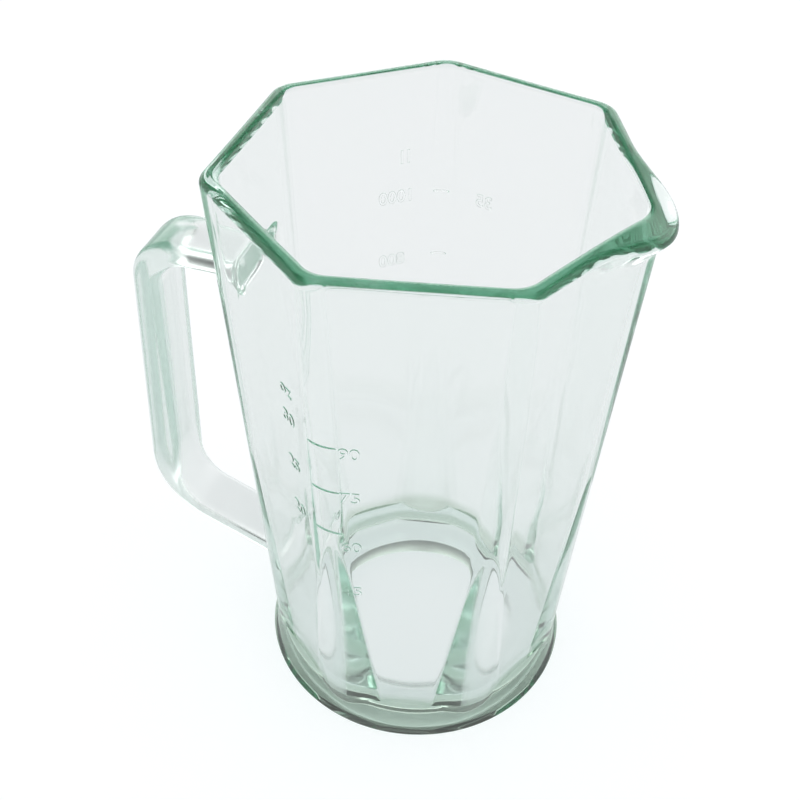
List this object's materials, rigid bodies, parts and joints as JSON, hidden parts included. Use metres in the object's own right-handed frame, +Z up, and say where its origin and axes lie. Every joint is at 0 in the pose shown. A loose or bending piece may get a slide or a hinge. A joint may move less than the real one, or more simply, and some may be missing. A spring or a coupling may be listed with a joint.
{
  "type": "blender jar",
  "caption": "Many-sided tapering pressed-glass blender jar with a pouring lip on a corner, a strap handle opposite it, and a round foot whose floor has a hole for a blade unit.",
  "frame": {"origin": "centre of the hole for the blade unit, in the plane that the foot stands on", "axes": "+Z up along the jar's axis, +X from the axis towards the pouring lip, the handle at -X"},
  "size_m": [0.163, 0.1222, 0.193],
  "materials": {
    "glass": "fire-polished"
  },
  "bodies": {
    "root": {"glass_jar": "glass"}
  },
  "joints": []
}
